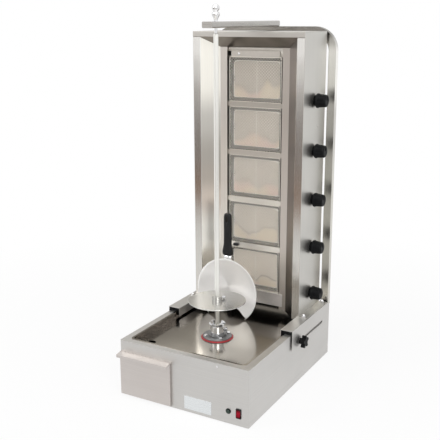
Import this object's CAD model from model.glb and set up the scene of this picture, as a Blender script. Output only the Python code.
"""Looks of the gas doner grill: materials, wire nets, trims, light and camera.

Every length is in metres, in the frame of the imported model: origin on the
floor under the middle of the machine, X right, Y to the back, Z up.
"""
from math import atan2, ceil, cos, floor, pi, radians, sin, sqrt

import bmesh
import bpy
from mathutils import Matrix, Vector


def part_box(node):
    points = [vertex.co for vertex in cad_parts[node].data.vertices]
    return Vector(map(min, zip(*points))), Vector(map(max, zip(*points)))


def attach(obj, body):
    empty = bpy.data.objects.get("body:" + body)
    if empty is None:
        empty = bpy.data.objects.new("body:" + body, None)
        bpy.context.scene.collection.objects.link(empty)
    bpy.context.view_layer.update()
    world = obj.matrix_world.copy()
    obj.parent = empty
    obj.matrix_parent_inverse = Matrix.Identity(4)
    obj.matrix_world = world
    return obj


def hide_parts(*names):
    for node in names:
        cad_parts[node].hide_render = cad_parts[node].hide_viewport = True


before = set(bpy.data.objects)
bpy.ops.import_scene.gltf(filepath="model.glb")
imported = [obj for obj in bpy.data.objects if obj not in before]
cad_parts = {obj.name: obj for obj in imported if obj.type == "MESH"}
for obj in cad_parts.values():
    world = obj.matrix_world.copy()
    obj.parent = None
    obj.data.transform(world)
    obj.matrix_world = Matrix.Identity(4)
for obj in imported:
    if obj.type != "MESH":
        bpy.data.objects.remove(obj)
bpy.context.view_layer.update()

MM = 0.001
BURNER_COUNT = 5


def srgb(red, green, blue):
    """A colour written as 0 to 255 values, turned linear."""
    def linear(value):
        value /= 255
        return value / 12.92 if value <= 0.04045 else ((value + 0.055) / 1.055) ** 2.4
    return (linear(red), linear(green), linear(blue), 1.0)


# Ranges that stretch a noise into two shades, and into uneven gloss
SHADE_RANGE = (0.35, 0.65)
GLOSS_RANGE = (0.3, 0.7)


class Shader:
    """Short names for building one node material."""

    def __init__(self, name, metallic=0.0):
        self.material = bpy.data.materials.new(name)
        self.material.use_nodes = True
        self.tree = self.material.node_tree
        self.bsdf = self.tree.nodes["Principled BSDF"]
        self.bsdf.inputs["Metallic"].default_value = metallic
        self.coords = self.tree.nodes.new("ShaderNodeTexCoord").outputs["Object"]

    def link(self, source, target):
        self.tree.links.new(source, target)

    def put(self, socket, value):
        """Sets a plain value, or links a node's output."""
        if isinstance(value, bpy.types.NodeSocket):
            self.link(value, socket)
        else:
            socket.default_value = value

    def stretched(self, scale):
        """Object coordinates scaled by another amount along each axis."""
        mapping = self.tree.nodes.new("ShaderNodeMapping")
        mapping.inputs["Scale"].default_value = scale
        self.link(self.coords, mapping.inputs["Vector"])
        return mapping.outputs["Vector"]

    def noise(self, scale, detail=3.0, rough=0.5):
        """Noise with the given scale along each axis."""
        node = self.tree.nodes.new("ShaderNodeTexNoise")
        node.inputs["Scale"].default_value = 1.0
        node.inputs["Detail"].default_value = detail
        node.inputs["Roughness"].default_value = rough
        self.link(self.stretched(scale), node.inputs["Vector"])
        return node.outputs["Fac"]

    def spread(self, value, low, high, to_low=0.0, to_high=1.0):
        """Maps a value from one range to another, clamped."""
        node = self.tree.nodes.new("ShaderNodeMapRange")
        self.link(value, node.inputs["Value"])
        node.inputs["From Min"].default_value = low
        node.inputs["From Max"].default_value = high
        node.inputs["To Min"].default_value = to_low
        node.inputs["To Max"].default_value = to_high
        return node.outputs["Result"]

    def mix(self, factor, first, second):
        """Blend of two colours."""
        node = self.tree.nodes.new("ShaderNodeMix")
        node.data_type = "RGBA"
        self.put(node.inputs["Factor"], factor)
        self.put(node.inputs[6], first)
        self.put(node.inputs[7], second)
        return node.outputs[2]

    def maths(self, operation, *values):
        """One math node."""
        node = self.tree.nodes.new("ShaderNodeMath")
        node.operation = operation
        for socket, value in zip(node.inputs, values):
            self.put(socket, value)
        return node.outputs["Value"]

    def axes(self):
        """Object coordinates as three numbers."""
        node = self.tree.nodes.new("ShaderNodeSeparateXYZ")
        self.link(self.coords, node.inputs["Vector"])
        return node.outputs["X"], node.outputs["Y"], node.outputs["Z"]

    def ramp(self, value, stops):
        """A colour that changes along a value from 0 to 1, given as (place, colour) stops."""
        node = self.tree.nodes.new("ShaderNodeValToRGB")
        line = node.color_ramp
        line.interpolation = "EASE"
        while len(line.elements) < len(stops):
            line.elements.new(0.5)
        for element, (place, colour) in zip(line.elements, stops):
            element.position = place
            element.color = srgb(*colour)
        self.link(value, node.inputs["Fac"])
        return node.outputs["Color"]

    def within(self, value, low, high):
        """One where a value lies between two limits."""
        above = self.maths("GREATER_THAN", value, low)
        return self.maths("MULTIPLY", above, self.maths("LESS_THAN", value, high))

    def bump(self, height, distance, strength=1.0):
        """Raises the surface by a height map."""
        node = self.tree.nodes.new("ShaderNodeBump")
        node.inputs["Strength"].default_value = strength
        node.inputs["Distance"].default_value = distance
        self.link(height, node.inputs["Height"])
        self.link(node.outputs["Normal"], self.bsdf.inputs["Normal"])

    def brushing(self, grain, patches, share, rough=0.65):
        """Brush lines, cloudy patches, and a tone made of both."""
        lines = self.noise(grain, detail=4.0, rough=rough)
        cloud = self.noise((patches,) * 3, detail=2.0)
        lined = self.maths("MULTIPLY", lines, share)
        clouded = self.maths("MULTIPLY", cloud, 1 - share)
        return lines, cloud, self.maths("ADD", lined, clouded)

    def stained(self, colour, grain, share, stain):
        """A colour that takes on a little of a stain where the grain is low."""
        return self.mix(grain, self.mix(share, colour, srgb(*stain)), colour)

    def colour(self, source):
        """Takes the base colour from a node."""
        self.link(source, self.bsdf.inputs["Base Color"])

    def uneven_gloss(self, tone, roughest, smoothest):
        """Roughness between two levels, along a tone."""
        self.link(self.spread(tone, *GLOSS_RANGE, roughest, smoothest), self.bsdf.inputs["Roughness"])


# Metals: scales of the grain's noise along X, Y and Z, depths of the grain, and scales of the patches
UPRIGHT = (420, 420, 2.5)
LEVEL = (2.5, 2.5, 520)
FORE_AFT = (420, 2.5, 420)
CROSSWISE = (2.5, 420, 420)
HOOD_GRAIN = (2.5, 300, 300)
EVEN = (260, 260, 260)
MATT_GRAIN = (60, 60, 60)
BRUSHED_DEPTH = 0.02 * MM
SHEET_DEPTH = 0.015 * MM
SATIN_DEPTH = 0.01 * MM
PRESSED_DEPTH = 0.006 * MM
POLISHED_DEPTH = 0.003 * MM
SPUN_DEPTH = 0.002 * MM
CAST_DEPTH = 0.06 * MM
ROUGHEST, SMOOTHEST = 1.2, 0.85
PATCHES = 5
TOWER_PATCHES = 7
HOOD_PATCHES = 6


def brushed_metal(name, light, dark, rough, grain, depth=BRUSHED_DEPTH, metallic=1.0):
    """Metal with a brushed grain, cloudy patches and uneven gloss."""
    shader = Shader(name, metallic=metallic)
    lines, _, tone = shader.brushing(grain, PATCHES, 0.6)
    shader.colour(shader.mix(shader.spread(tone, *SHADE_RANGE), srgb(*dark), srgb(*light)))
    shader.uneven_gloss(tone, rough * ROUGHEST, rough * SMOOTHEST)
    shader.bump(lines, depth)
    return shader.material


def spun_metal(name, light, dark, rough, metallic, shine):
    """Metal spun on a lathe, whose fine grain runs round the Y axis and fans out its shine."""
    material = brushed_metal(name, light, dark, rough, EVEN, SPUN_DEPTH, metallic)
    tree = material.node_tree
    radial = tree.nodes.new("ShaderNodeTangent")
    radial.direction_type = "RADIAL"
    radial.axis = "Y"
    bsdf = tree.nodes["Principled BSDF"]
    tree.links.new(radial.outputs["Tangent"], bsdf.inputs["Tangent"])
    bsdf.inputs["Anisotropic"].default_value = shine
    return material


# Tones that heat and soot leave up the tower, as (height, colour) stops
TOWER_HEIGHT = 1.16
FLANGE_TONES = (
    (0.20, (214, 211, 205)), (0.55, (206, 204, 199)), (0.95, (208, 206, 202)),
    (1.04, (230, 229, 226)), (1.10, (248, 248, 246)))
LEFT_STRIP = (
    (0.30, (228, 224, 217)), (0.72, (240, 236, 228)), (0.95, (222, 217, 211)), (1.08, (216, 211, 205)))
RIGHT_STRIP = (
    (0.30, (206, 200, 192)), (0.45, (208, 201, 194)), (0.66, (212, 205, 198)),
    (0.92, (194, 187, 180)), (1.08, (190, 183, 176)))
HOOP_TONES = (
    (0.20, (206, 203, 196)), (0.60, (214, 212, 204)), (0.88, (204, 202, 197)), (0.98, (250, 249, 244)),
    (1.09, (252, 251, 247)), (1.125, (200, 198, 194)), (1.15, (140, 137, 132)))
SPACER_TONES = (
    (0.22, (254, 252, 250)), (0.42, (244, 240, 232)), (0.58, (232, 228, 218)), (0.75, (204, 198, 189)),
    (0.91, (186, 180, 171)), (1.02, (186, 180, 172)), (1.10, (204, 199, 191)))
LEFT_WING = (
    (0.20, (250, 247, 240)), (0.38, (254, 251, 243)), (0.47, (252, 249, 240)), (0.58, (216, 204, 192)),
    (0.66, (186, 178, 168)), (0.74, (184, 179, 171)), (0.86, (206, 203, 196)), (0.98, (252, 249, 240)))
RIGHT_WING = (
    (0.20, (92, 86, 80)), (0.30, (119, 111, 104)), (0.47, (162, 153, 146)),
    (0.66, (137, 128, 125)), (0.88, (142, 135, 132)), (1.05, (178, 171, 169)))
PLAQUE_TONES = (
    (0.33, (240, 231, 219)), (0.50, (221, 213, 202)), (0.67, (208, 200, 189)),
    (0.83, (198, 190, 179)), (1.00, (194, 186, 176)))


def by_height(shader, tones):
    """A colour ramp up the tower, given as (height, colour) stops."""
    up = shader.axes()[2]
    stops = [(height / TOWER_HEIGHT, colour) for height, colour in tones]
    return shader.ramp(shader.maths("DIVIDE", up, TOWER_HEIGHT), stops)


def toned_metal(name, tones, rough, grain):
    """Brushed metal whose tone changes with height, as heat and soot leave it."""
    shader = Shader(name, metallic=1.0)
    lines, _, tone = shader.brushing(grain, TOWER_PATCHES, 0.5)
    light = by_height(shader, tones)
    shader.colour(shader.stained(light, shader.spread(tone, *SHADE_RANGE), 0.14, (92, 86, 80)))
    shader.uneven_gloss(tone, rough * ROUGHEST, rough * SMOOTHEST)
    shader.bump(lines, BRUSHED_DEPTH)
    return shader.material


# Where the side sheet turns from strip to wing, flange and outside, and how rough each face is
STRIP_EDGE = 0.1295
WING_EDGE = 0.1785
FLANGE_EDGE = 0.2040
WING_FRONT, WING_BACK = 0.1226, 0.1750
FLANGE_ROUGH = 0.19
SATIN_ROUGHER = 0.17
WING_ROUGHER = 0.12


def tower_sheet(name, wing_tones, strip_tones):
    """Tower side sheet: satin outside, brighter flange, heat-toned where its wing faces the burners."""
    shader = Shader(name, metallic=1.0)
    lines, _, tone = shader.brushing(UPRIGHT, PATCHES, 0.6)
    grain = shader.spread(tone, *SHADE_RANGE)
    across, depth, _ = shader.axes()
    aside = shader.maths("ABSOLUTE", across)
    strip = shader.maths("LESS_THAN", aside, STRIP_EDGE)
    flange = shader.maths("LESS_THAN", aside, FLANGE_EDGE)
    outside = shader.maths("GREATER_THAN", aside, FLANGE_EDGE)
    inward = shader.maths("LESS_THAN", aside, WING_EDGE)
    wing = shader.maths("MULTIPLY", shader.within(depth, WING_FRONT, WING_BACK), inward)
    plain = shader.mix(flange, srgb(203, 201, 196), by_height(shader, FLANGE_TONES))
    plain = shader.mix(strip, plain, by_height(shader, strip_tones))
    plain = shader.stained(plain, grain, 0.08, (110, 108, 104))
    toned = shader.stained(by_height(shader, wing_tones), grain, 0.12, (90, 86, 82))
    shader.colour(shader.mix(wing, plain, toned))
    satin = shader.maths("MULTIPLY", shader.maths("ADD", outside, strip), SATIN_ROUGHER)
    dull = shader.maths("ADD", FLANGE_ROUGH, satin)
    dull = shader.maths("ADD", dull, shader.maths("MULTIPLY", wing, WING_ROUGHER))
    uneven = shader.spread(tone, *GLOSS_RANGE, 1.15, 0.88)
    shader.link(shader.maths("MULTIPLY", dull, uneven), shader.bsdf.inputs["Roughness"])
    shader.bump(lines, SHEET_DEPTH)
    return shader.material


# The normal's Z between which the hood's sheet counts as its underside
UNDER_STEEP, UNDER_FLAT = -0.25, -0.45


def hood_sheet(name):
    """Canopy sheet: bright outside, browned where its underside faces down over the burners."""
    shader = Shader(name, metallic=1.0)
    lines, cloud, tone = shader.brushing(HOOD_GRAIN, HOOD_PATCHES, 0.5, rough=0.6)
    geometry = shader.tree.nodes.new("ShaderNodeNewGeometry")
    split = shader.tree.nodes.new("ShaderNodeSeparateXYZ")
    shader.link(geometry.outputs["Normal"], split.inputs["Vector"])
    under = shader.spread(split.outputs["Z"], UNDER_FLAT, UNDER_STEEP, 1.0, 0.0)
    plain = shader.mix(shader.spread(tone, *SHADE_RANGE), srgb(194, 190, 185), srgb(206, 203, 198))
    browned = shader.mix(shader.spread(cloud, 0.4, 0.6), srgb(112, 106, 99), srgb(140, 133, 126))
    shader.colour(shader.mix(under, plain, browned))
    shader.uneven_gloss(tone, 0.34, 0.26)
    shader.bump(lines, SHEET_DEPTH)
    return shader.material


# Depths and widths of the pan between which its steel darkens towards the burners and to the left
PAN_BRIGHT_Y, PAN_DARK_Y = -0.26, 0.12
PAN_DARK_X, PAN_BRIGHT_X = -0.20, -0.07
PAN_LEFT_SHARE = 0.62
PAN_TONES = ((0.0, (196, 191, 183)), (0.35, (168, 163, 155)), (1.0, (112, 107, 100)))


def tray_steel():
    """Pressed pan steel: satin along the front, greasier and darker towards the burners."""
    shader = Shader("pan_steel_satin", metallic=1.0)
    lines, _, tone = shader.brushing(FORE_AFT, PATCHES, 0.5)
    across, depth, _ = shader.axes()
    light = shader.ramp(shader.spread(depth, PAN_BRIGHT_Y, PAN_DARK_Y), PAN_TONES)
    left = shader.spread(across, PAN_DARK_X, PAN_BRIGHT_X, PAN_LEFT_SHARE, 0.0)
    light = shader.mix(left, light, srgb(96, 90, 86))
    shader.colour(shader.stained(light, shader.spread(tone, *SHADE_RANGE), 0.12, (70, 64, 58)))
    shader.uneven_gloss(tone, 0.18, 0.12)
    shader.bump(lines, PRESSED_DEPTH)
    return shader.material


# Plastics, rubber and ceramics
WEAR_SCALE = 35.0
RUBBED_GAIN, RUBBED_LIFT = 1.35, 0.004
DULLER, GLOSSIER = 1.15, 0.85


def moulded(name, colour, rough, grain_scale=900.0, depth=0.03 * MM, gloss=0.5):
    """Moulded plastic or rubber with a fine spark-eroded grain and rubbed patches."""
    shader = Shader(name)
    shader.bsdf.inputs["Specular IOR Level"].default_value = gloss
    grain = shader.noise((grain_scale,) * 3, detail=2.0)
    worn = shader.noise((WEAR_SCALE,) * 3, detail=3.0)
    base = srgb(*colour)
    rubbed = tuple(min(1.0, part * RUBBED_GAIN + RUBBED_LIFT) for part in base[:3]) + (1.0,)
    shader.colour(shader.mix(shader.spread(worn, 0.35, 0.75), base, rubbed))
    shader.uneven_gloss(worn, rough * DULLER, rough * GLOSSIER)
    shader.bump(grain, depth)
    return shader.material


ROCKER_TONES = (
    (0.02, (58, 4, 12)), (0.22, (140, 6, 30)), (0.55, (158, 10, 36)),
    (0.80, (120, 4, 24)), (0.98, (44, 4, 10)))


def rocker_plastic():
    """Clear red rocker plastic over a dark well, darker towards its two ends."""
    low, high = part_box("rocker_switch")
    shader = Shader("red_rocker_plastic")
    shader.bsdf.inputs["Specular IOR Level"].default_value = 0.12
    up = shader.axes()[2]
    share = shader.maths("DIVIDE", shader.maths("SUBTRACT", up, low.z), high.z - low.z)
    cloud = shader.noise((400, 400, 400), detail=2.0)
    deep = shader.spread(cloud, 0.35, 0.7, 0.0, 0.25)
    shader.colour(shader.mix(deep, shader.ramp(share, ROCKER_TONES), srgb(70, 4, 14)))
    shader.uneven_gloss(cloud, 0.36, 0.24)
    shader.bump(cloud, BRUSHED_DEPTH)
    return shader.material


# Rows of burners: their pitch, where the lowest row starts, and the levels of the baked tint in a row
BURNER_PITCH = 0.167
LOWEST_ROW = 0.2475
BAKED_LEVEL = 0.094
BRINK_LOW, BRINK_HIGH = 0.111, 0.118
TINT_WAVE = 0.11
BAKED_SHARE = 0.62
BRINK_SHARE = 0.5
HOLE_PITCH = 2.6 * MM
HOLE_DEPTH = 0.8 * MM
HOLE_FULL, HOLE_EDGE = 0.22, 0.30
HOLE_SHADE = 0.6


def plaque_ceramic():
    """Pierced burner ceramic: rows of fine holes, and a baked tint along the lower edge of each plaque."""
    shader = Shader("burner_ceramic_pierced")
    across, _, up = shader.axes()

    def squared_from_centre(value):
        cell = shader.maths("FRACT", shader.maths("DIVIDE", value, HOLE_PITCH))
        return shader.maths("POWER", shader.maths("SUBTRACT", cell, 0.5), 2.0)

    squares = shader.maths("ADD", squared_from_centre(across), squared_from_centre(up))
    hole = shader.spread(shader.maths("SQRT", squares), HOLE_FULL, HOLE_EDGE, 1.0, 0.0)
    soot = shader.spread(shader.noise((22, 22, 22), detail=3.0), 0.35, 0.65, 0.0, 0.12)
    clay = shader.mix(soot, by_height(shader, PLAQUE_TONES), srgb(120, 110, 98))
    drift = shader.maths("ADD", across, shader.noise((9, 9, 9), detail=1.0))
    tint = shader.mix(shader.spread(drift, 0.42, 0.56), srgb(240, 204, 190), srgb(246, 230, 202))
    row = shader.maths("MODULO", shader.maths("SUBTRACT", up, LOWEST_ROW), BURNER_PITCH)
    wave = shader.maths("MULTIPLY", shader.noise((17, 17, 6), detail=2.0), TINT_WAVE)
    level = shader.maths("ADD", row, wave)
    baked = shader.spread(level, BAKED_LEVEL, BRINK_HIGH, BAKED_SHARE, 0.0)
    brink = shader.maths("MULTIPLY", shader.within(level, BRINK_LOW, BRINK_HIGH), BRINK_SHARE)
    face = shader.mix(brink, shader.mix(baked, clay, tint), srgb(150, 136, 120))
    shader.colour(shader.mix(shader.maths("MULTIPLY", hole, HOLE_SHADE), face, srgb(150, 138, 124)))
    shader.link(shader.spread(hole, 0.0, 1.0, 0.85, 1.0), shader.bsdf.inputs["Roughness"])
    shader.bump(shader.maths("SUBTRACT", 1.0, hole), HOLE_DEPTH, 0.7)
    return shader.material


tower_steel = brushed_metal("tower_steel", (212, 209, 204), (198, 195, 190), 0.22, UPRIGHT)
arm_steel = brushed_metal("arm_steel", (187, 185, 181), (180, 177, 173), 0.28, CROSSWISE, SATIN_DEPTH)
hoop_steel = toned_metal("hoop_steel", HOOP_TONES, 0.24, UPRIGHT)
left_sheet = tower_sheet("tower_sheet_left", LEFT_WING, LEFT_STRIP)
right_sheet = tower_sheet("tower_sheet_right", RIGHT_WING, RIGHT_STRIP)
hood_steel = hood_sheet("hood_sheet")
base_steel = brushed_metal("base_steel", (204, 202, 199), (197, 195, 192), 0.38, LEVEL, SATIN_DEPTH)
drawer_steel = brushed_metal("drawer_steel", (206, 200, 196), (200, 194, 190), 0.42, LEVEL, SATIN_DEPTH)
pan_steel = tray_steel()
scoop_steel = spun_metal("scoop_steel_spun", (254, 253, 251), (249, 248, 246), 0.40,
                         metallic=0.75, shine=0.85)
disc_steel = brushed_metal("disc_steel_spun", (202, 201, 198), (188, 187, 184), 0.24, EVEN, POLISHED_DEPTH)
chrome = brushed_metal("bright_chrome", (236, 236, 236), (205, 205, 206), 0.10, EVEN, POLISHED_DEPTH)
skewer_steel = brushed_metal("skewer_steel", (246, 245, 240), (228, 227, 222), 0.30, UPRIGHT)
strip_steel = toned_metal("strip_steel", SPACER_TONES, 0.40, MATT_GRAIN)
housing_steel = brushed_metal("housing_steel", (56, 52, 48), (34, 31, 29), 0.50, LEVEL)
wire_steel = brushed_metal("guard_wire_steel", (250, 246, 238), (232, 226, 215), 0.36, EVEN)
dark_steel = brushed_metal("heat_darkened_steel", (104, 98, 92), (70, 66, 62), 0.45, EVEN)
badge_metal = brushed_metal("badge_bare_metal", (228, 231, 232), (218, 221, 222), 0.26, LEVEL)
grey_casting = brushed_metal("flange_casting", (150, 150, 150), (118, 118, 118), 0.42, EVEN, CAST_DEPTH)
brass = brushed_metal("brass", (214, 178, 96), (180, 142, 66), 0.28, EVEN)
bronze = brushed_metal("bronze", (182, 138, 88), (148, 108, 64), 0.36, EVEN)
black_plastic = moulded("black_satin_plastic", (6, 7, 9), 0.5, gloss=0.12)
handle_plastic = moulded("handle_plastic", (12, 12, 14), 0.40, gloss=0.3)
green_plastic = moulded("green_button_plastic", (20, 42, 32), 0.30)
red_plastic = rocker_plastic()
red_silicone = moulded("red_silicone", (170, 52, 58), 0.5)
black_rubber = moulded("black_rubber", (28, 28, 28), 0.75)
white_ceramic = moulded("white_ceramic", (232, 228, 218), 0.35)
fibre_packing = moulded("ceramic_fibre", (252, 247, 238), 0.9, grain_scale=500.0, depth=0.2 * MM)
motor_paint = moulded("motor_paint", (72, 76, 82), 0.45)
ceramic = plaque_ceramic()

CLADDING = {
    "base_casing": base_steel, "base_bottom": base_steel, "rear_cover": base_steel,
    "drawer_rails": base_steel, "drip_pan": pan_steel, "drawer_box": drawer_steel,
    "drawer_front": drawer_steel, "badge_plate": badge_metal, "rubber_feet": black_rubber,
    "button_bezel": black_plastic, "push_button": green_plastic, "rocker_bezel": handle_plastic,
    "rocker_switch": red_plastic, "spit_gearbox": grey_casting, "spit_motor": motor_paint,
    "drive_flange": grey_casting, "shaft_bearing": bronze, "hub_gasket": red_silicone,
    "flange_bolts": chrome, "output_shaft": chrome, "spit_hub": chrome, "hub_screw": chrome,
    "skewer": skewer_steel, "meat_disc": disc_steel, "disc_screw": chrome, "top_pin": chrome,
    "top_arm": arm_steel, "rear_frame": hoop_steel, "side_panel_left": left_sheet,
    "side_panel_right": right_sheet, "back_panel": tower_steel, "canopy": hood_steel,
    "burner_spacers": strip_steel, "lower_panel": strip_steel, "burner_housings": housing_steel,
    "ceramic_plaques": ceramic, "thermocouples": dark_steel, "igniter": white_ceramic,
    "gas_manifold": brass, "gas_taps": brass, "knob_bezels": black_plastic,
    "foot_channel_left": base_steel, "foot_channel_right": base_steel, "glide_shoes": black_plastic,
    "dome_nuts": chrome, "star_knob_left": black_plastic, "star_knob_right": black_plastic,
    "scoop_tray": scoop_steel, "scoop_handle": handle_plastic,
}
for number in range(1, BURNER_COUNT + 1):
    CLADDING["tap_plug_%d" % number] = brass
    CLADDING["gas_knob_%d" % number] = black_plastic
for node, material in CLADDING.items():
    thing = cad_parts[node]
    thing.data.materials.clear()
    thing.data.materials.append(material)


# Edges of folded sheet and of small parts catch the light on a small radius
FOLDED_NODES = (
    "base_casing", "drawer_front", "canopy", "side_panel_left", "side_panel_right", "foot_channel_left",
    "foot_channel_right", "burner_spacers", "lower_panel", "drip_pan", "top_arm", "badge_plate")
SMALL_NODES = ("skewer", "rocker_switch", "rocker_bezel", "glide_shoes")
FOLD_RADIUS = 0.5 * MM
SMALL_RADIUS = 0.35 * MM
WELD_REACH = 0.01 * MM
SHARP_ANGLE = radians(35.0)


def soften(node, width):
    """Joins split corners, rounds the sharp edges a little and evens the shading."""
    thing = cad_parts[node]
    weld = thing.modifiers.new("weld", "WELD")
    weld.merge_threshold = WELD_REACH
    bevel = thing.modifiers.new("edge radius", "BEVEL")
    bevel.width = width
    bevel.segments = 2
    bevel.limit_method = "ANGLE"
    bevel.angle_limit = SHARP_ANGLE
    thing.modifiers.new("even shading", "WEIGHTED_NORMAL")


for node in FOLDED_NODES:
    soften(node, FOLD_RADIUS)
for node in SMALL_NODES:
    soften(node, SMALL_RADIUS)


# Mesh helpers
def finish_piece(name, shape, material, body, smooth=True):
    """Turns a bmesh into a named object that rides on a body and takes its finish from a slot."""
    mesh = bpy.data.meshes.new(name)
    bmesh.ops.recalc_face_normals(shape, faces=shape.faces)
    shape.to_mesh(mesh)
    shape.free()
    mesh.materials.append(material)
    for face in mesh.polygons:
        face.use_smooth = smooth
    thing = bpy.data.objects.new(name, mesh)
    bpy.context.scene.collection.objects.link(thing)
    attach(thing, body)
    return thing


def in_mm(points):
    """Pairs of millimetres, turned into metres."""
    return [(first * MM, second * MM) for first, second in points]


def frame_along(direction):
    """Two directions square to a given one."""
    direction = direction.normalized()
    spare = Vector((0, 0, 1)) if abs(direction.z) < 0.9 else Vector((1, 0, 0))
    side = direction.cross(spare).normalized()
    return side, side.cross(direction).normalized()


def circle(shape, middle, side, up, radius, sides):
    """A ring of new points round a middle."""
    turns = [2 * pi * k / sides for k in range(sides)]
    return [shape.verts.new(middle + radius * (cos(turn) * side + sin(turn) * up)) for turn in turns]


def band(shape, first, second):
    """Faces between two rings of points."""
    for k in range(len(first)):
        after = (k + 1) % len(first)
        shape.faces.new((first[k], first[after], second[after], second[k]))


def loft(shape, rings):
    """A body through a stack of rings, closed at both ends."""
    for first, second in zip(rings, rings[1:]):
        band(shape, first, second)
    shape.faces.new(rings[0])
    shape.faces.new(rings[-1])


def sweep(shape, points, radius, sides=8, closed=False):
    """A round wire along a line of points."""
    points = [Vector(point) for point in points]
    count = len(points)
    rings = []
    for index, point in enumerate(points):
        before = points[index - 1] if index or closed else point
        after = points[(index + 1) % count] if index < count - 1 or closed else point
        side, up = frame_along(after - before)
        rings.append(circle(shape, point, side, up, radius, sides))
    if closed:
        for first, second in zip(rings, rings[1:] + rings[:1]):
            band(shape, first, second)
    else:
        loft(shape, rings)


def lathe(shape, profile, centre, axis, sides=24):
    """A turned shape: a line of (radius, height) points spun about an axis."""
    axis = Vector(axis).normalized()
    side, up = frame_along(axis)
    rings = []
    for radius, height in profile:
        middle = Vector(centre) + axis * height
        if radius == 0:
            rings.append([shape.verts.new(middle)])
        else:
            rings.append(circle(shape, middle, side, up, radius, sides))
    for first, second in zip(rings, rings[1:]):
        if len(first) == len(second):
            band(shape, first, second)
            continue
        for k in range(sides):
            after = (k + 1) % sides
            if len(first) == 1:
                shape.faces.new((first[0], second[after], second[k]))
            else:
                shape.faces.new((first[k], first[after], second[0]))


CUBE_FACES = ((0, 1, 3, 2), (4, 6, 7, 5), (0, 4, 5, 1), (2, 3, 7, 6), (0, 2, 6, 4), (1, 5, 7, 3))


def rounded_slab(shape, low, high, radius):
    """A box between two corners, with rounded edges."""
    corners = []
    for x in (low[0], high[0]):
        for y in (low[1], high[1]):
            corners += [shape.verts.new((x, y, z)) for z in (low[2], high[2])]
    for face in CUBE_FACES:
        shape.faces.new([corners[k] for k in face])
    edges = {edge for corner in corners for edge in corner.link_edges}
    bmesh.ops.bevel(shape, geom=list(edges), offset=radius, segments=2, affect="EDGES", profile=0.5)


# Woven wire nets in front of the burners, each in a folded rim
GUARD_LOW, GUARD_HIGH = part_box("burner_guards")
TOP_BURNER = 0.999
GUARD_TALL = 0.150
NET_PITCH = 7.4 * MM
NET_INSET = 1 * MM
WIRE_RADIUS = 0.72 * MM
WIRE_SIDES = 4
WEAVE_SHARE = 0.9
CLEAR_OF_END = 0.01
RIM_PROUD = 0.4 * MM
RIM_WIDTH = 1.6 * MM
RIM_CORNER = 5 * MM
LEAST_CORNER = 0.2 * MM
CORNER_STEPS = 4


def burner_middle(number):
    """The height of a burner's middle, counted down from the top one as 0."""
    return TOP_BURNER - number * BURNER_PITCH


def woven_net(shape, left, right, low, high, plane):
    """Diagonal wires that pass over and under each other, cut to a rectangle."""
    step = NET_PITCH * sqrt(2)
    half = step / 2
    width, height = right - left, high - low
    for rising in (True, False):
        for number in range(1, ceil((width + height) / step)):
            offset = number * step
            start = max(0.0, offset - width)
            end = min(height, offset)
            if end - start < 2 * WIRE_RADIUS:
                continue
            first_cross = ceil(start / half + CLEAR_OF_END)
            last_cross = floor(end / half - CLEAR_OF_END)
            marks = [start] + [k * half for k in range(first_cross, last_cross + 1)] + [end]
            line = []
            for mark in marks:
                across = offset - mark
                x = left + across if rising else right - across
                turn = 1 if (round(mark / half) + (0 if rising else 1)) % 2 else -1
                line.append((x, plane + turn * WIRE_RADIUS * WEAVE_SHARE, low + mark))
            sweep(shape, line, WIRE_RADIUS, sides=WIRE_SIDES)


def rim_strip(shape, left, right, low, high, front, back):
    """A flat folded rim round a net, with rounded corners."""
    def loop(inset):
        line = []
        reach = max(RIM_CORNER - inset, LEAST_CORNER)
        for turn, (x, z) in enumerate(((right, high), (left, high), (left, low), (right, low))):
            out_x = 1 if x == right else -1
            out_z = 1 if z == high else -1
            middle_x = x - out_x * (inset + reach)
            middle_z = z - out_z * (inset + reach)
            for k in range(CORNER_STEPS + 1):
                angle = pi / 2 * (turn + k / CORNER_STEPS)
                line.append((middle_x + reach * cos(angle), middle_z + reach * sin(angle)))
        return line
    loops = []
    for inset, y in ((0, back), (0, front), (RIM_WIDTH, front), (RIM_WIDTH, back)):
        loops.append([shape.verts.new((x, y, z)) for x, z in loop(inset)])
    for first, second in zip(loops, loops[1:] + loops[:1]):
        band(shape, first, second)


for number in range(BURNER_COUNT):
    middle = burner_middle(number)
    low, high = middle - GUARD_TALL / 2, middle + GUARD_TALL / 2
    net = bmesh.new()
    woven_net(net, GUARD_LOW.x + NET_INSET, GUARD_HIGH.x - NET_INSET, low + NET_INSET, high - NET_INSET,
              (GUARD_LOW.y + GUARD_HIGH.y) / 2)
    net_piece = finish_piece("guard_net_%d" % (number + 1), net, wire_steel, "burner_tower")
    rim = bmesh.new()
    rim_strip(rim, GUARD_LOW.x, GUARD_HIGH.x, low, high, GUARD_LOW.y - RIM_PROUD, GUARD_HIGH.y + RIM_PROUD)
    finish_piece("guard_rim_%d" % (number + 1), rim, wire_steel, "burner_tower", smooth=False)
    if number == 0:
        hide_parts("burner_guards")


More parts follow.
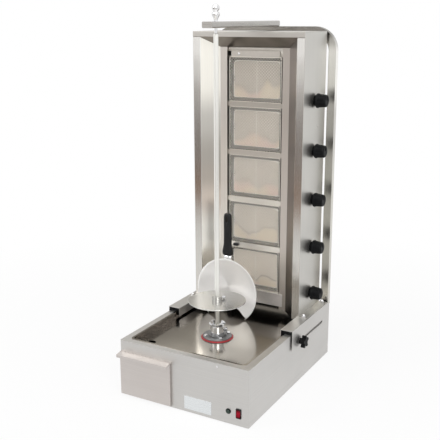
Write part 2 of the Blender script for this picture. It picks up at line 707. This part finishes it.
# Burner trims: gaskets in the seams between plaques, fibre packing round them, bright clips at the left
PLAQUE_LOW, PLAQUE_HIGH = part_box("ceramic_plaques")
PLAQUE_TALL = 0.124
SEAM_PROUD = 0.6 * MM
SEAM_HALF = 1.1 * MM
SEAM_THICK = 2 * MM
SEAM_EDGE = 0.4 * MM
FIBRE_RADIUS = 2.1 * MM
FIBRE_STRAY = 0.5 * MM
FIBRE_BEHIND = 0.6 * MM
FIBRE_LEFT, FIBRE_RIGHT = 1.4 * MM, 1.8 * MM
FIBRE_BELOW, FIBRE_ABOVE = 2.2 * MM, 0.6 * MM
FIBRE_STEPS = 26
SLOW_WAVE, QUICK_WAVE, QUICK_SHARE = 37, 83, 0.6
SLOW_START, QUICK_START = 90, 50
CLIP_PROUD = 1.6 * MM
CLIP_BELOW, CLIP_ABOVE = 6 * MM, 14 * MM
TONGUE_REACH, TONGUE_GAP, TONGUE_EDGE = 4 * MM, 0.4 * MM, 0.4 * MM
SHANK_GAP, SHANK_REACH, SHANK_EDGE = 0.5 * MM, 5 * MM, 0.3 * MM


def fibre_line(left, right, low, high, plane):
    """Points round a rectangle with rounded corners that wander a little, as packed fibre does."""
    line = []
    corners = ((left, low), (right, low), (right, high), (left, high))
    for start, end in zip(corners, corners[1:] + corners[:1]):
        level = start[1] == end[1]
        for k in range(2, FIBRE_STEPS - 1):
            share = k / FIBRE_STEPS
            slow = sin(SLOW_WAVE * share + SLOW_START * low)
            quick = QUICK_SHARE * sin(QUICK_WAVE * share + QUICK_START * high)
            sway = FIBRE_STRAY * (slow + quick)
            x = start[0] + (end[0] - start[0]) * share
            z = start[1] + (end[1] - start[1]) * share
            line.append((x + (0 if level else sway), plane, z + (sway if level else 0)))
    return line


seams = bmesh.new()
clips = bmesh.new()
fibre = bmesh.new()
for number in range(BURNER_COUNT):
    middle = burner_middle(number)
    foot, top = middle - PLAQUE_TALL / 2, middle + PLAQUE_TALL / 2
    front = PLAQUE_LOW.y - SEAM_PROUD
    left = PLAQUE_LOW.x
    rounded_slab(seams, (-SEAM_HALF, front, foot), (SEAM_HALF, front + SEAM_THICK, top), SEAM_EDGE)
    packing = fibre_line(left - FIBRE_LEFT, PLAQUE_HIGH.x + FIBRE_RIGHT, foot - FIBRE_BELOW,
                         top + FIBRE_ABOVE, front + FIBRE_BEHIND)
    sweep(fibre, packing, FIBRE_RADIUS, closed=True)
    corner = (left - CLIP_PROUD, front - CLIP_PROUD, middle - CLIP_BELOW)
    clip_top = middle + CLIP_ABOVE
    rounded_slab(clips, corner, (left + TONGUE_REACH, front - TONGUE_GAP, clip_top), TONGUE_EDGE)
    rounded_slab(clips, corner, (left - SHANK_GAP, front + SHANK_REACH, clip_top), SHANK_EDGE)
finish_piece("plaque_seam_gaskets", seams, white_ceramic, "burner_tower")
finish_piece("plaque_clips", clips, chrome, "burner_tower")
finish_piece("plaque_fibre_edges", fibre, fibre_packing, "burner_tower")


# Heat trim over the top burner, with a tab beside the top strip
STRIP_LOW, STRIP_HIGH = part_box("burner_spacers")
TRIM_SIDE = 0.103
TRIM_LAP = 2 * MM
TRIM_RISE = 13.5 * MM
TRIM_FRONT = GUARD_LOW.y + 3 * MM
TRIM_BACK = GUARD_LOW.y + 4.2 * MM
TRIM_EDGE = 0.3 * MM
TAB_LEFT = 0.0902
TAB_DROP = 20 * MM
TAB_GAP = 1.4 * MM
heat_trim = bmesh.new()
rounded_slab(heat_trim, (-TRIM_SIDE, TRIM_FRONT, STRIP_HIGH.z - TRIM_LAP),
             (TRIM_SIDE, TRIM_BACK, STRIP_HIGH.z + TRIM_RISE), TRIM_EDGE)
rounded_slab(heat_trim, (TAB_LEFT, TRIM_FRONT, STRIP_HIGH.z - TAB_DROP),
             (TRIM_SIDE, TRIM_BACK, STRIP_HIGH.z - TAB_GAP), TRIM_EDGE)
finish_piece("top_heat_trim", heat_trim, strip_steel, "burner_tower")


# Igniter: a ribbed black plug with a white tip, turned about X from (radius, height) points in millimetres
IGNITER_LOW, IGNITER_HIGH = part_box("igniter")
PLUG_PROFILE = (
    (0, 0), (3.6, 0), (4.6, 1), (5.4, 3), (5.4, 8), (4.7, 8.6),
    (4.7, 10), (5.4, 10.6), (5.4, 17), (4.6, 18.6), (0, 19))
TIP_PROFILE = ((0, 0), (1.2, 0), (2.6, 0.8), (2.9, 2), (2.9, 6.5), (0, 6.6))
PLUG_FROM_BACK = 5.8 * MM
PLUG_LAP = 1 * MM
TIP_REACH = 7 * MM
TO_THE_RIGHT = (1, 0, 0)
igniter_y = IGNITER_HIGH.y - PLUG_FROM_BACK
igniter_z = (IGNITER_LOW.z + IGNITER_HIGH.z) / 2
plug = bmesh.new()
lathe(plug, in_mm(PLUG_PROFILE), (IGNITER_LOW.x - PLUG_LAP, igniter_y, igniter_z), TO_THE_RIGHT)
plug_piece = finish_piece("igniter_plug", plug, handle_plastic, "burner_tower")
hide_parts("igniter")
tip = bmesh.new()
lathe(tip, in_mm(TIP_PROFILE), (IGNITER_LOW.x - TIP_REACH, igniter_y, igniter_z), TO_THE_RIGHT)
finish_piece("igniter_tip", tip, white_ceramic, "burner_tower")


# Small fixings that catch the light: the top strip's screw and the cabinet's rivet, with domed heads
CASING_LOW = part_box("base_casing")[0]
HEAD_PROFILE = ((0, 0), (1, 0), (1, 0.3), (0.86, 0.75), (0.5, 1), (0.22, 1), (0.18, 0.6), (0, 0.6))
HEAD_SIDES = 28
TO_THE_FRONT = (0, -1, 0)
SCREW_X = -0.0607
SCREW_DROP = 10 * MM
SCREW_SEAT = 0.4 * MM
SCREW_RADIUS, SCREW_RISE = 4.2 * MM, 1.6 * MM
RIVET_X, RIVET_Z = 0.127, 0.1835
RIVET_SEAT = 0.9 * MM
RIVET_RADIUS, RIVET_RISE = 3.6 * MM, 1.3 * MM


def dome_head(shape, place, radius, rise):
    """A low domed head with a small recess, facing the front."""
    profile = [(out * radius, up * rise) for out, up in HEAD_PROFILE]
    lathe(shape, profile, place, TO_THE_FRONT, sides=HEAD_SIDES)


screw = bmesh.new()
dome_head(screw, (SCREW_X, STRIP_LOW.y + SCREW_SEAT, STRIP_HIGH.z - SCREW_DROP), SCREW_RADIUS, SCREW_RISE)
finish_piece("top_strip_screw", screw, chrome, "burner_tower")
rivet = bmesh.new()
dome_head(rivet, (RIVET_X, CASING_LOW.y + RIVET_SEAT, RIVET_Z), RIVET_RADIUS, RIVET_RISE)
finish_piece("front_rivet", rivet, chrome, "base")


# Gas knobs: round skirted caps with finger flutes, a pointer rib, and a small collar on the panel
KNOB_PROFILE = (
    (0, 22.6, 0), (0.6, 23.6, 0), (4.4, 24.4, 0), (5.4, 24.0, 0), (6.2, 22.6, 0),
    (7.4, 22.2, 0.2), (9.5, 22.1, 1), (20, 21.3, 1), (29.5, 20.5, 1), (31.5, 20.1, 0.8),
    (33.4, 19.0, 0.4), (34.6, 17.2, 0), (35.0, 15.0, 0), (34.6, 11.0, 0))
KNOB_TALL = 40 * MM
KNOB_SIDES = 80
FLUTES = 8
FLUTE_DEPTH = 1.5 * MM
RIB_HALF = 1.7 * MM
RIB_BACK, RIB_FRONT = 33 * MM, 36.4 * MM
RIB_START, RIB_END = 2 * MM, 16.5 * MM
RIB_EDGE = 0.7 * MM
COLLAR_PROFILE = (
    (0, 0), (17.5, 0), (17.5, 2.2), (16.6, 3), (11, 3), (10, 3.6), (10, 7.4), (0, 7.4))
COLLAR_SIDES = 40


def fluted_cap(shape, foot, y, z):
    """A cap turned about X from (height, radius, flute share) points, with grooves down its side."""
    rings = []
    for height, radius, share in KNOB_PROFILE:
        ring = []
        for k in range(KNOB_SIDES):
            angle = 2 * pi * (k + 0.5) / KNOB_SIDES
            groove = max(0.0, cos(FLUTES * angle)) ** 3
            reach = radius * MM - FLUTE_DEPTH * share * groove
            place = (foot + height * MM, y + reach * cos(angle), z + reach * sin(angle))
            ring.append(shape.verts.new(place))
        rings.append(ring)
    loft(shape, rings)


collars = bmesh.new()
for number in range(1, BURNER_COUNT + 1):
    knob_low, knob_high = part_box("gas_knob_%d" % number)
    knob_y, knob_z = (knob_low.y + knob_high.y) / 2, (knob_low.z + knob_high.z) / 2
    foot = knob_high.x - KNOB_TALL
    cap = bmesh.new()
    fluted_cap(cap, foot, knob_y, knob_z)
    rounded_slab(cap, (foot + RIB_BACK, knob_y - RIB_HALF, knob_z + RIB_START),
                 (foot + RIB_FRONT, knob_y + RIB_HALF, knob_z + RIB_END), RIB_EDGE)
    cap_piece = finish_piece("knob_cap_%d" % number, cap, black_plastic, "knob_%d" % number)
    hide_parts("gas_knob_%d" % number)
    panel_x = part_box("knob_bezels")[0].x
    lathe(collars, in_mm(COLLAR_PROFILE), (panel_x, knob_y, knob_z), TO_THE_RIGHT, sides=COLLAR_SIDES)
collar_piece = finish_piece("knob_collars", collars, black_plastic, "burner_tower")
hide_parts("knob_bezels")


# Scoop: spun dome with a hollow mouth at its foot, and a bead along the rest of its rim
TRAY_LOW, TRAY_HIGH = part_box("scoop_tray")
HANDLE_LOW, HANDLE_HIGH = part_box("scoop_handle")
BOWL_RADIUS = (TRAY_HIGH.x - TRAY_LOW.x) / 2
BOWL_DEPTH = 15 * MM
BOWL_POWER = 2.3
BOWL_SHEET = 1.2 * MM
BOWL_RINGS = 24
HANDLE_ABOVE = 133.5 * MM
BOWL_X = (TRAY_LOW.x + TRAY_HIGH.x) / 2
BOWL_FRONT = TRAY_LOW.y
BOWL_Z = HANDLE_LOW.z - HANDLE_ABOVE
MOUTH_RADIUS = 88 * MM
MOUTH_DROP = 142 * MM
MOUTH_STEPS = 14
RIM_STEPS = 90
BEAD_RADIUS = 0.9 * MM
BEAD_INSET = 0.4 * MM
TIP_DROP = (MOUTH_DROP ** 2 + BOWL_RADIUS ** 2 - MOUTH_RADIUS ** 2) / (2 * MOUTH_DROP)
TIP_ANGLE = atan2(sqrt(BOWL_RADIUS ** 2 - TIP_DROP ** 2), TIP_DROP)


def bowl_edge(angle):
    """How far the bowl reaches from its middle, at an angle from straight down."""
    away = abs((angle + pi) % (2 * pi) - pi)
    if away >= TIP_ANGLE:
        return BOWL_RADIUS
    across = MOUTH_DROP * sin(away)
    return min(BOWL_RADIUS, MOUTH_DROP * cos(away) - sqrt(max(0.0, MOUTH_RADIUS ** 2 - across ** 2)))


def bowl_point(angle, reach):
    """A point of the dome's front face."""
    swell = BOWL_DEPTH * (1 - (reach / BOWL_RADIUS) ** BOWL_POWER)
    return (BOWL_X + reach * sin(angle), BOWL_FRONT + swell, BOWL_Z - reach * cos(angle))


rim_angles = [TIP_ANGLE + (2 * pi - 2 * TIP_ANGLE) * k / RIM_STEPS for k in range(RIM_STEPS + 1)]
bowl_angles = [TIP_ANGLE * (k / MOUTH_STEPS) for k in range(-MOUTH_STEPS, MOUTH_STEPS)] + rim_angles[:-1]
dome = bmesh.new()
middle = dome.verts.new(bowl_point(0, 0))
before = None
for step in range(1, BOWL_RINGS + 1):
    ring = [dome.verts.new(bowl_point(angle, bowl_edge(angle) * step / BOWL_RINGS)) for angle in bowl_angles]
    if before is None:
        for k in range(len(ring)):
            dome.faces.new((middle, ring[(k + 1) % len(ring)], ring[k]))
    else:
        band(dome, before, ring)
    before = ring
dome_piece = finish_piece("scoop_dome", dome, scoop_steel, "scoop")
sheet = dome_piece.modifiers.new("sheet", "SOLIDIFY")
sheet.thickness = BOWL_SHEET
sheet.offset = 0.0
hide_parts("scoop_tray")
bead = bmesh.new()
sweep(bead, [bowl_point(angle, BOWL_RADIUS - BEAD_INSET) for angle in rim_angles], BEAD_RADIUS)
finish_piece("scoop_rim_bead", bead, scoop_steel, "scoop")


# Scoop's grip, given as (share of its height, half width in millimetres), its hanging slot and its ferrule
HANDLE_X = (HANDLE_LOW.x + HANDLE_HIGH.x) / 2
HANDLE_Y = (HANDLE_LOW.y + HANDLE_HIGH.y) / 2
GRIP_TALL = HANDLE_HIGH.z - HANDLE_LOW.z
HANDLE_STATIONS = (
    (0, 16.5), (0.008, 18.2), (0.03, 19.2), (0.08, 19.6), (0.13, 18.6), (0.19, 16.2), (0.26, 14.8),
    (0.40, 14.2), (0.60, 14.2), (0.80, 14.4), (0.92, 14.0), (0.965, 12.6), (0.99, 10.2), (1.0, 7.0))
GRIP_FLATNESS, GRIP_POWER = 0.62, 2.6
FERRULE_STATIONS = ((-34, 9), (-24, 14.5), (-14, 16), (0.4, 15.6))
FERRULE_FLATNESS, FERRULE_POWER = 0.5, 2.2
OVAL_SIDES = 40
SLOT_PLACE = 0.86
SLOT_RADIUS = 3.9 * MM
SLOT_HALF = 7 * MM
SLOT_STEPS = 10
CUTTER_REACH = 0.03


def oval_loft(shape, stations, flatness, power):
    """A body of rounded oval sections standing up along Z, given as (height, half width) stations."""
    rings = []
    for height, half in stations:
        ring = []
        for k in range(OVAL_SIDES):
            angle = 2 * pi * k / OVAL_SIDES
            level, deep = cos(angle), sin(angle)
            x = abs(level) ** (2 / power) * (1 if level >= 0 else -1)
            y = abs(deep) ** (2 / power) * (1 if deep >= 0 else -1)
            ring.append(shape.verts.new((HANDLE_X + half * x, HANDLE_Y + half * flatness * y, height)))
        rings.append(ring)
    loft(shape, rings)


def slot_cutter():
    """A solid with two round ends that passes through the grip."""
    shape = bmesh.new()
    slot_z = HANDLE_LOW.z + SLOT_PLACE * GRIP_TALL
    outline = []
    for start, middle in ((0, slot_z + SLOT_HALF), (pi, slot_z - SLOT_HALF)):
        for k in range(SLOT_STEPS + 1):
            angle = start + pi * k / SLOT_STEPS
            outline.append((SLOT_RADIUS * cos(angle), middle + SLOT_RADIUS * sin(angle)))
    near = [shape.verts.new((HANDLE_X + x, HANDLE_Y - CUTTER_REACH, z)) for x, z in outline]
    far = [shape.verts.new((HANDLE_X + x, HANDLE_Y + CUTTER_REACH, z)) for x, z in outline]
    shape.faces.new(near)
    shape.faces.new(far)
    band(shape, near, far)
    bmesh.ops.recalc_face_normals(shape, faces=shape.faces)
    mesh = bpy.data.meshes.new("slot_cutter")
    shape.to_mesh(mesh)
    shape.free()
    thing = bpy.data.objects.new("slot_cutter", mesh)
    bpy.context.scene.collection.objects.link(thing)
    return thing


grip = bmesh.new()
oval_loft(grip, [(HANDLE_LOW.z + share * GRIP_TALL, half * MM) for share, half in HANDLE_STATIONS],
          GRIP_FLATNESS, GRIP_POWER)
grip_piece = finish_piece("scoop_grip", grip, handle_plastic, "scoop")
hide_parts("scoop_handle")
cutter = slot_cutter()
cut = grip_piece.modifiers.new("hanging slot", "BOOLEAN")
cut.operation = "DIFFERENCE"
cut.solver = "EXACT"
cut.object = cutter
bpy.context.view_layer.update()
slotted = bpy.data.meshes.new_from_object(grip_piece.evaluated_get(bpy.context.evaluated_depsgraph_get()))
grip_piece.modifiers.clear()
grip_piece.data = slotted
bpy.data.objects.remove(cutter)

ferrule = bmesh.new()
oval_loft(ferrule, [(HANDLE_LOW.z + height, half) for height, half in in_mm(FERRULE_STATIONS)],
          FERRULE_FLATNESS, FERRULE_POWER)
finish_piece("scoop_ferrule", ferrule, chrome, "scoop")


# Gasket under the drive flange: a thin moulded ring with a rounded edge
GASKET_LOW, GASKET_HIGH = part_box("hub_gasket")
GASKET_PROFILE = (
    (46, 0), (53.6, 0), (54.2, 0.5), (53.4, 1.1), (50.6, 1.5), (49.3, 3.0), (46, 3.0), (46, 0))
GASKET_SIDES = 96
UPWARD = (0, 0, 1)
ring_x, ring_y = (GASKET_LOW.x + GASKET_HIGH.x) / 2, (GASKET_LOW.y + GASKET_HIGH.y) / 2
gasket = bmesh.new()
lathe(gasket, in_mm(GASKET_PROFILE), (ring_x, ring_y, GASKET_LOW.z), UPWARD, sides=GASKET_SIDES)
gasket_piece = finish_piece("flange_gasket_ring", gasket, red_silicone, "base")
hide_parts("hub_gasket")


# Floor, cards, light and camera
FLOOR_REACH = 14.0
FLOOR_GREY = 0.86
SHADOW_NEAR, SHADOW_FAR = 0.5, 1.9
SHADOW_SHARE = 0.87
SOFT_LIGHT = 0.45
LAMPS = (
    ("key", (2.3, -2.6, 2.5), (0, 0, 0.5), 2.0, 62),
    ("fill", (-2.2, -2.4, 2.6), (0, 0, 0.4), 1.8, 34),
    ("top", (0.2, -0.6, 3.4), (0, 0, 0.5), 2.4, 34),
)
CARD_LIFT = 0.01
FLOOR_CARDS = (
    ("far_card", (-5.0, -7.5), (-0.9, -2.75), (136, 127, 123)),
    ("near_card", (-2.2, -2.7), (-0.45, -1.75), (140, 98, 62)),
    ("left_card", (-4.6, -2.4), (-2.3, -1.0), (52, 48, 45)),
    ("right_card", (2.9, -1.9), (5.2, -0.5), (120, 110, 100)),
    ("camera_side_card", (1.2, -3.6), (2.6, -2.0), (70, 70, 64)),
)
UPRIGHT_CARDS = (
    ("rear_card", (-2.4, 0.1), (-0.3, 1.4), 1.6, (196, 192, 184)),
    ("front_backdrop", (-8.0, 0), (-0.5, 2.4), -9.0, (236, 233, 230)),
)
UNSEEN_BY = ("visible_camera", "visible_diffuse", "visible_shadow", "visible_transmission")
CAMERA_PLACE = (1.1912, -2.15695, 1.2058)
CAMERA_YAW, CAMERA_PITCH = radians(29.60), radians(14.81)
CAMERA_ROLL = -0.00346
CAMERA_LENS = 63.08
SENSOR_WIDTH = 36.0


def bright_for_seen_rays(tree):
    """One where a camera, glossy or see-through ray arrives."""
    path = tree.nodes.new("ShaderNodeLightPath")
    most = path.outputs["Is Camera Ray"]
    for name in ("Is Glossy Ray", "Is Transmission Ray"):
        node = tree.nodes.new("ShaderNodeMath")
        node.operation = "MAXIMUM"
        tree.links.new(most, node.inputs[0])
        tree.links.new(path.outputs[name], node.inputs[1])
        most = node.outputs["Value"]
    return most


def make_floor():
    """A plain pale floor that keeps a soft shadow."""
    mesh = bpy.data.meshes.new("floor")
    corners = ((-1, -1), (1, -1), (1, 1), (-1, 1))
    mesh.from_pydata([(x * FLOOR_REACH, y * FLOOR_REACH, 0) for x, y in corners], [], [(0, 1, 2, 3)])
    thing = bpy.data.objects.new("floor", mesh)
    bpy.context.scene.collection.objects.link(thing)
    material = bpy.data.materials.new("pale_floor")
    material.use_nodes = True
    tree = material.node_tree
    plain = tree.nodes["Principled BSDF"]
    plain.inputs["Base Color"].default_value = (FLOOR_GREY, FLOOR_GREY, FLOOR_GREY, 1)
    plain.inputs["Roughness"].default_value = 0.9
    glow = tree.nodes.new("ShaderNodeEmission")
    glow.inputs["Strength"].default_value = 1.0
    mix = tree.nodes.new("ShaderNodeMixShader")
    seen = bright_for_seen_rays(tree)
    share = tree.nodes.new("ShaderNodeMath")
    share.operation = "MULTIPLY"
    tree.links.new(seen, share.inputs[0])
    place = tree.nodes.new("ShaderNodeTexCoord")
    away = tree.nodes.new("ShaderNodeVectorMath")
    away.operation = "LENGTH"
    tree.links.new(place.outputs["Object"], away.inputs[0])
    fade = tree.nodes.new("ShaderNodeMapRange")
    fade.inputs["From Min"].default_value = SHADOW_NEAR
    fade.inputs["From Max"].default_value = SHADOW_FAR
    fade.inputs["To Min"].default_value = SHADOW_SHARE
    fade.inputs["To Max"].default_value = 1.0
    tree.links.new(away.outputs["Value"], fade.inputs["Value"])
    tree.links.new(fade.outputs["Result"], share.inputs[1])
    tree.links.new(share.outputs["Value"], mix.inputs["Fac"])
    tree.links.new(plain.outputs["BSDF"], mix.inputs[1])
    tree.links.new(glow.outputs["Emission"], mix.inputs[2])
    tree.links.new(mix.outputs["Shader"], tree.nodes["Material Output"].inputs["Surface"])
    mesh.materials.append(material)


def make_world():
    """White where it is seen or mirrored, plain soft light elsewhere."""
    world = bpy.data.worlds.new("studio")
    world.use_nodes = True
    tree = world.node_tree
    soft = tree.nodes["Background"]
    soft.inputs["Color"].default_value = (1, 1, 1, 1)
    soft.inputs["Strength"].default_value = SOFT_LIGHT
    white = tree.nodes.new("ShaderNodeBackground")
    white.inputs["Color"].default_value = (1, 1, 1, 1)
    white.inputs["Strength"].default_value = 1.0
    mix = tree.nodes.new("ShaderNodeMixShader")
    tree.links.new(bright_for_seen_rays(tree), mix.inputs["Fac"])
    tree.links.new(soft.outputs["Background"], mix.inputs[1])
    tree.links.new(white.outputs["Background"], mix.inputs[2])
    tree.links.new(mix.outputs["Shader"], tree.nodes["World Output"].inputs["Surface"])
    bpy.context.scene.world = world


def soft_lamp(name, place, target, size, power):
    """A large square studio lamp aimed at a point."""
    lamp = bpy.data.lights.new(name, "AREA")
    lamp.size = size
    lamp.energy = power
    thing = bpy.data.objects.new(name, lamp)
    thing.location = place
    thing.rotation_euler = (Vector(target) - Vector(place)).to_track_quat("-Z", "Y").to_euler()
    bpy.context.scene.collection.objects.link(thing)


def grey_card(name, corners, colour):
    """A studio card that only mirrors see, so that bare steel shows a tone and not plain white."""
    mesh = bpy.data.meshes.new(name)
    mesh.from_pydata(corners, [], [tuple(range(len(corners)))])
    thing = bpy.data.objects.new(name, mesh)
    bpy.context.scene.collection.objects.link(thing)
    material = bpy.data.materials.new(name)
    material.use_nodes = True
    tree = material.node_tree
    glow = tree.nodes.new("ShaderNodeEmission")
    glow.inputs["Color"].default_value = srgb(*colour)
    tree.links.new(glow.outputs["Emission"], tree.nodes["Material Output"].inputs["Surface"])
    mesh.materials.append(material)
    for flag in UNSEEN_BY:
        setattr(thing, flag, False)


def make_camera():
    """The camera at the photograph's place and angle."""
    yaw, pitch, roll = CAMERA_YAW, CAMERA_PITCH, CAMERA_ROLL
    ahead = Vector((-sin(yaw) * cos(pitch), cos(yaw) * cos(pitch), -sin(pitch)))
    level = Vector((cos(yaw), sin(yaw), 0))
    over = level.cross(ahead)
    right = cos(roll) * level + sin(roll) * over
    up = -sin(roll) * level + cos(roll) * over
    camera = bpy.data.cameras.new("camera")
    camera.lens = CAMERA_LENS
    camera.sensor_width = SENSOR_WIDTH
    camera.sensor_fit = "HORIZONTAL"
    thing = bpy.data.objects.new("camera", camera)
    turn = Matrix((right, up, -ahead)).transposed().to_4x4()
    thing.matrix_world = Matrix.Translation(CAMERA_PLACE) @ turn
    bpy.context.scene.collection.objects.link(thing)
    bpy.context.scene.camera = thing


make_floor()
make_world()
for lamp in LAMPS:
    soft_lamp(*lamp)
for name, (left, near), (right, far), colour in FLOOR_CARDS:
    outline = ((left, near), (right, near), (right, far), (left, far))
    grey_card(name, [(x, y, CARD_LIFT) for x, y in outline], colour)
for name, (left, low), (right, high), y, colour in UPRIGHT_CARDS:
    grey_card(name, [(left, y, low), (right, y, low), (right, y, high), (left, y, high)], colour)
make_camera()

scene = bpy.context.scene
scene.view_settings.view_transform = "Standard"
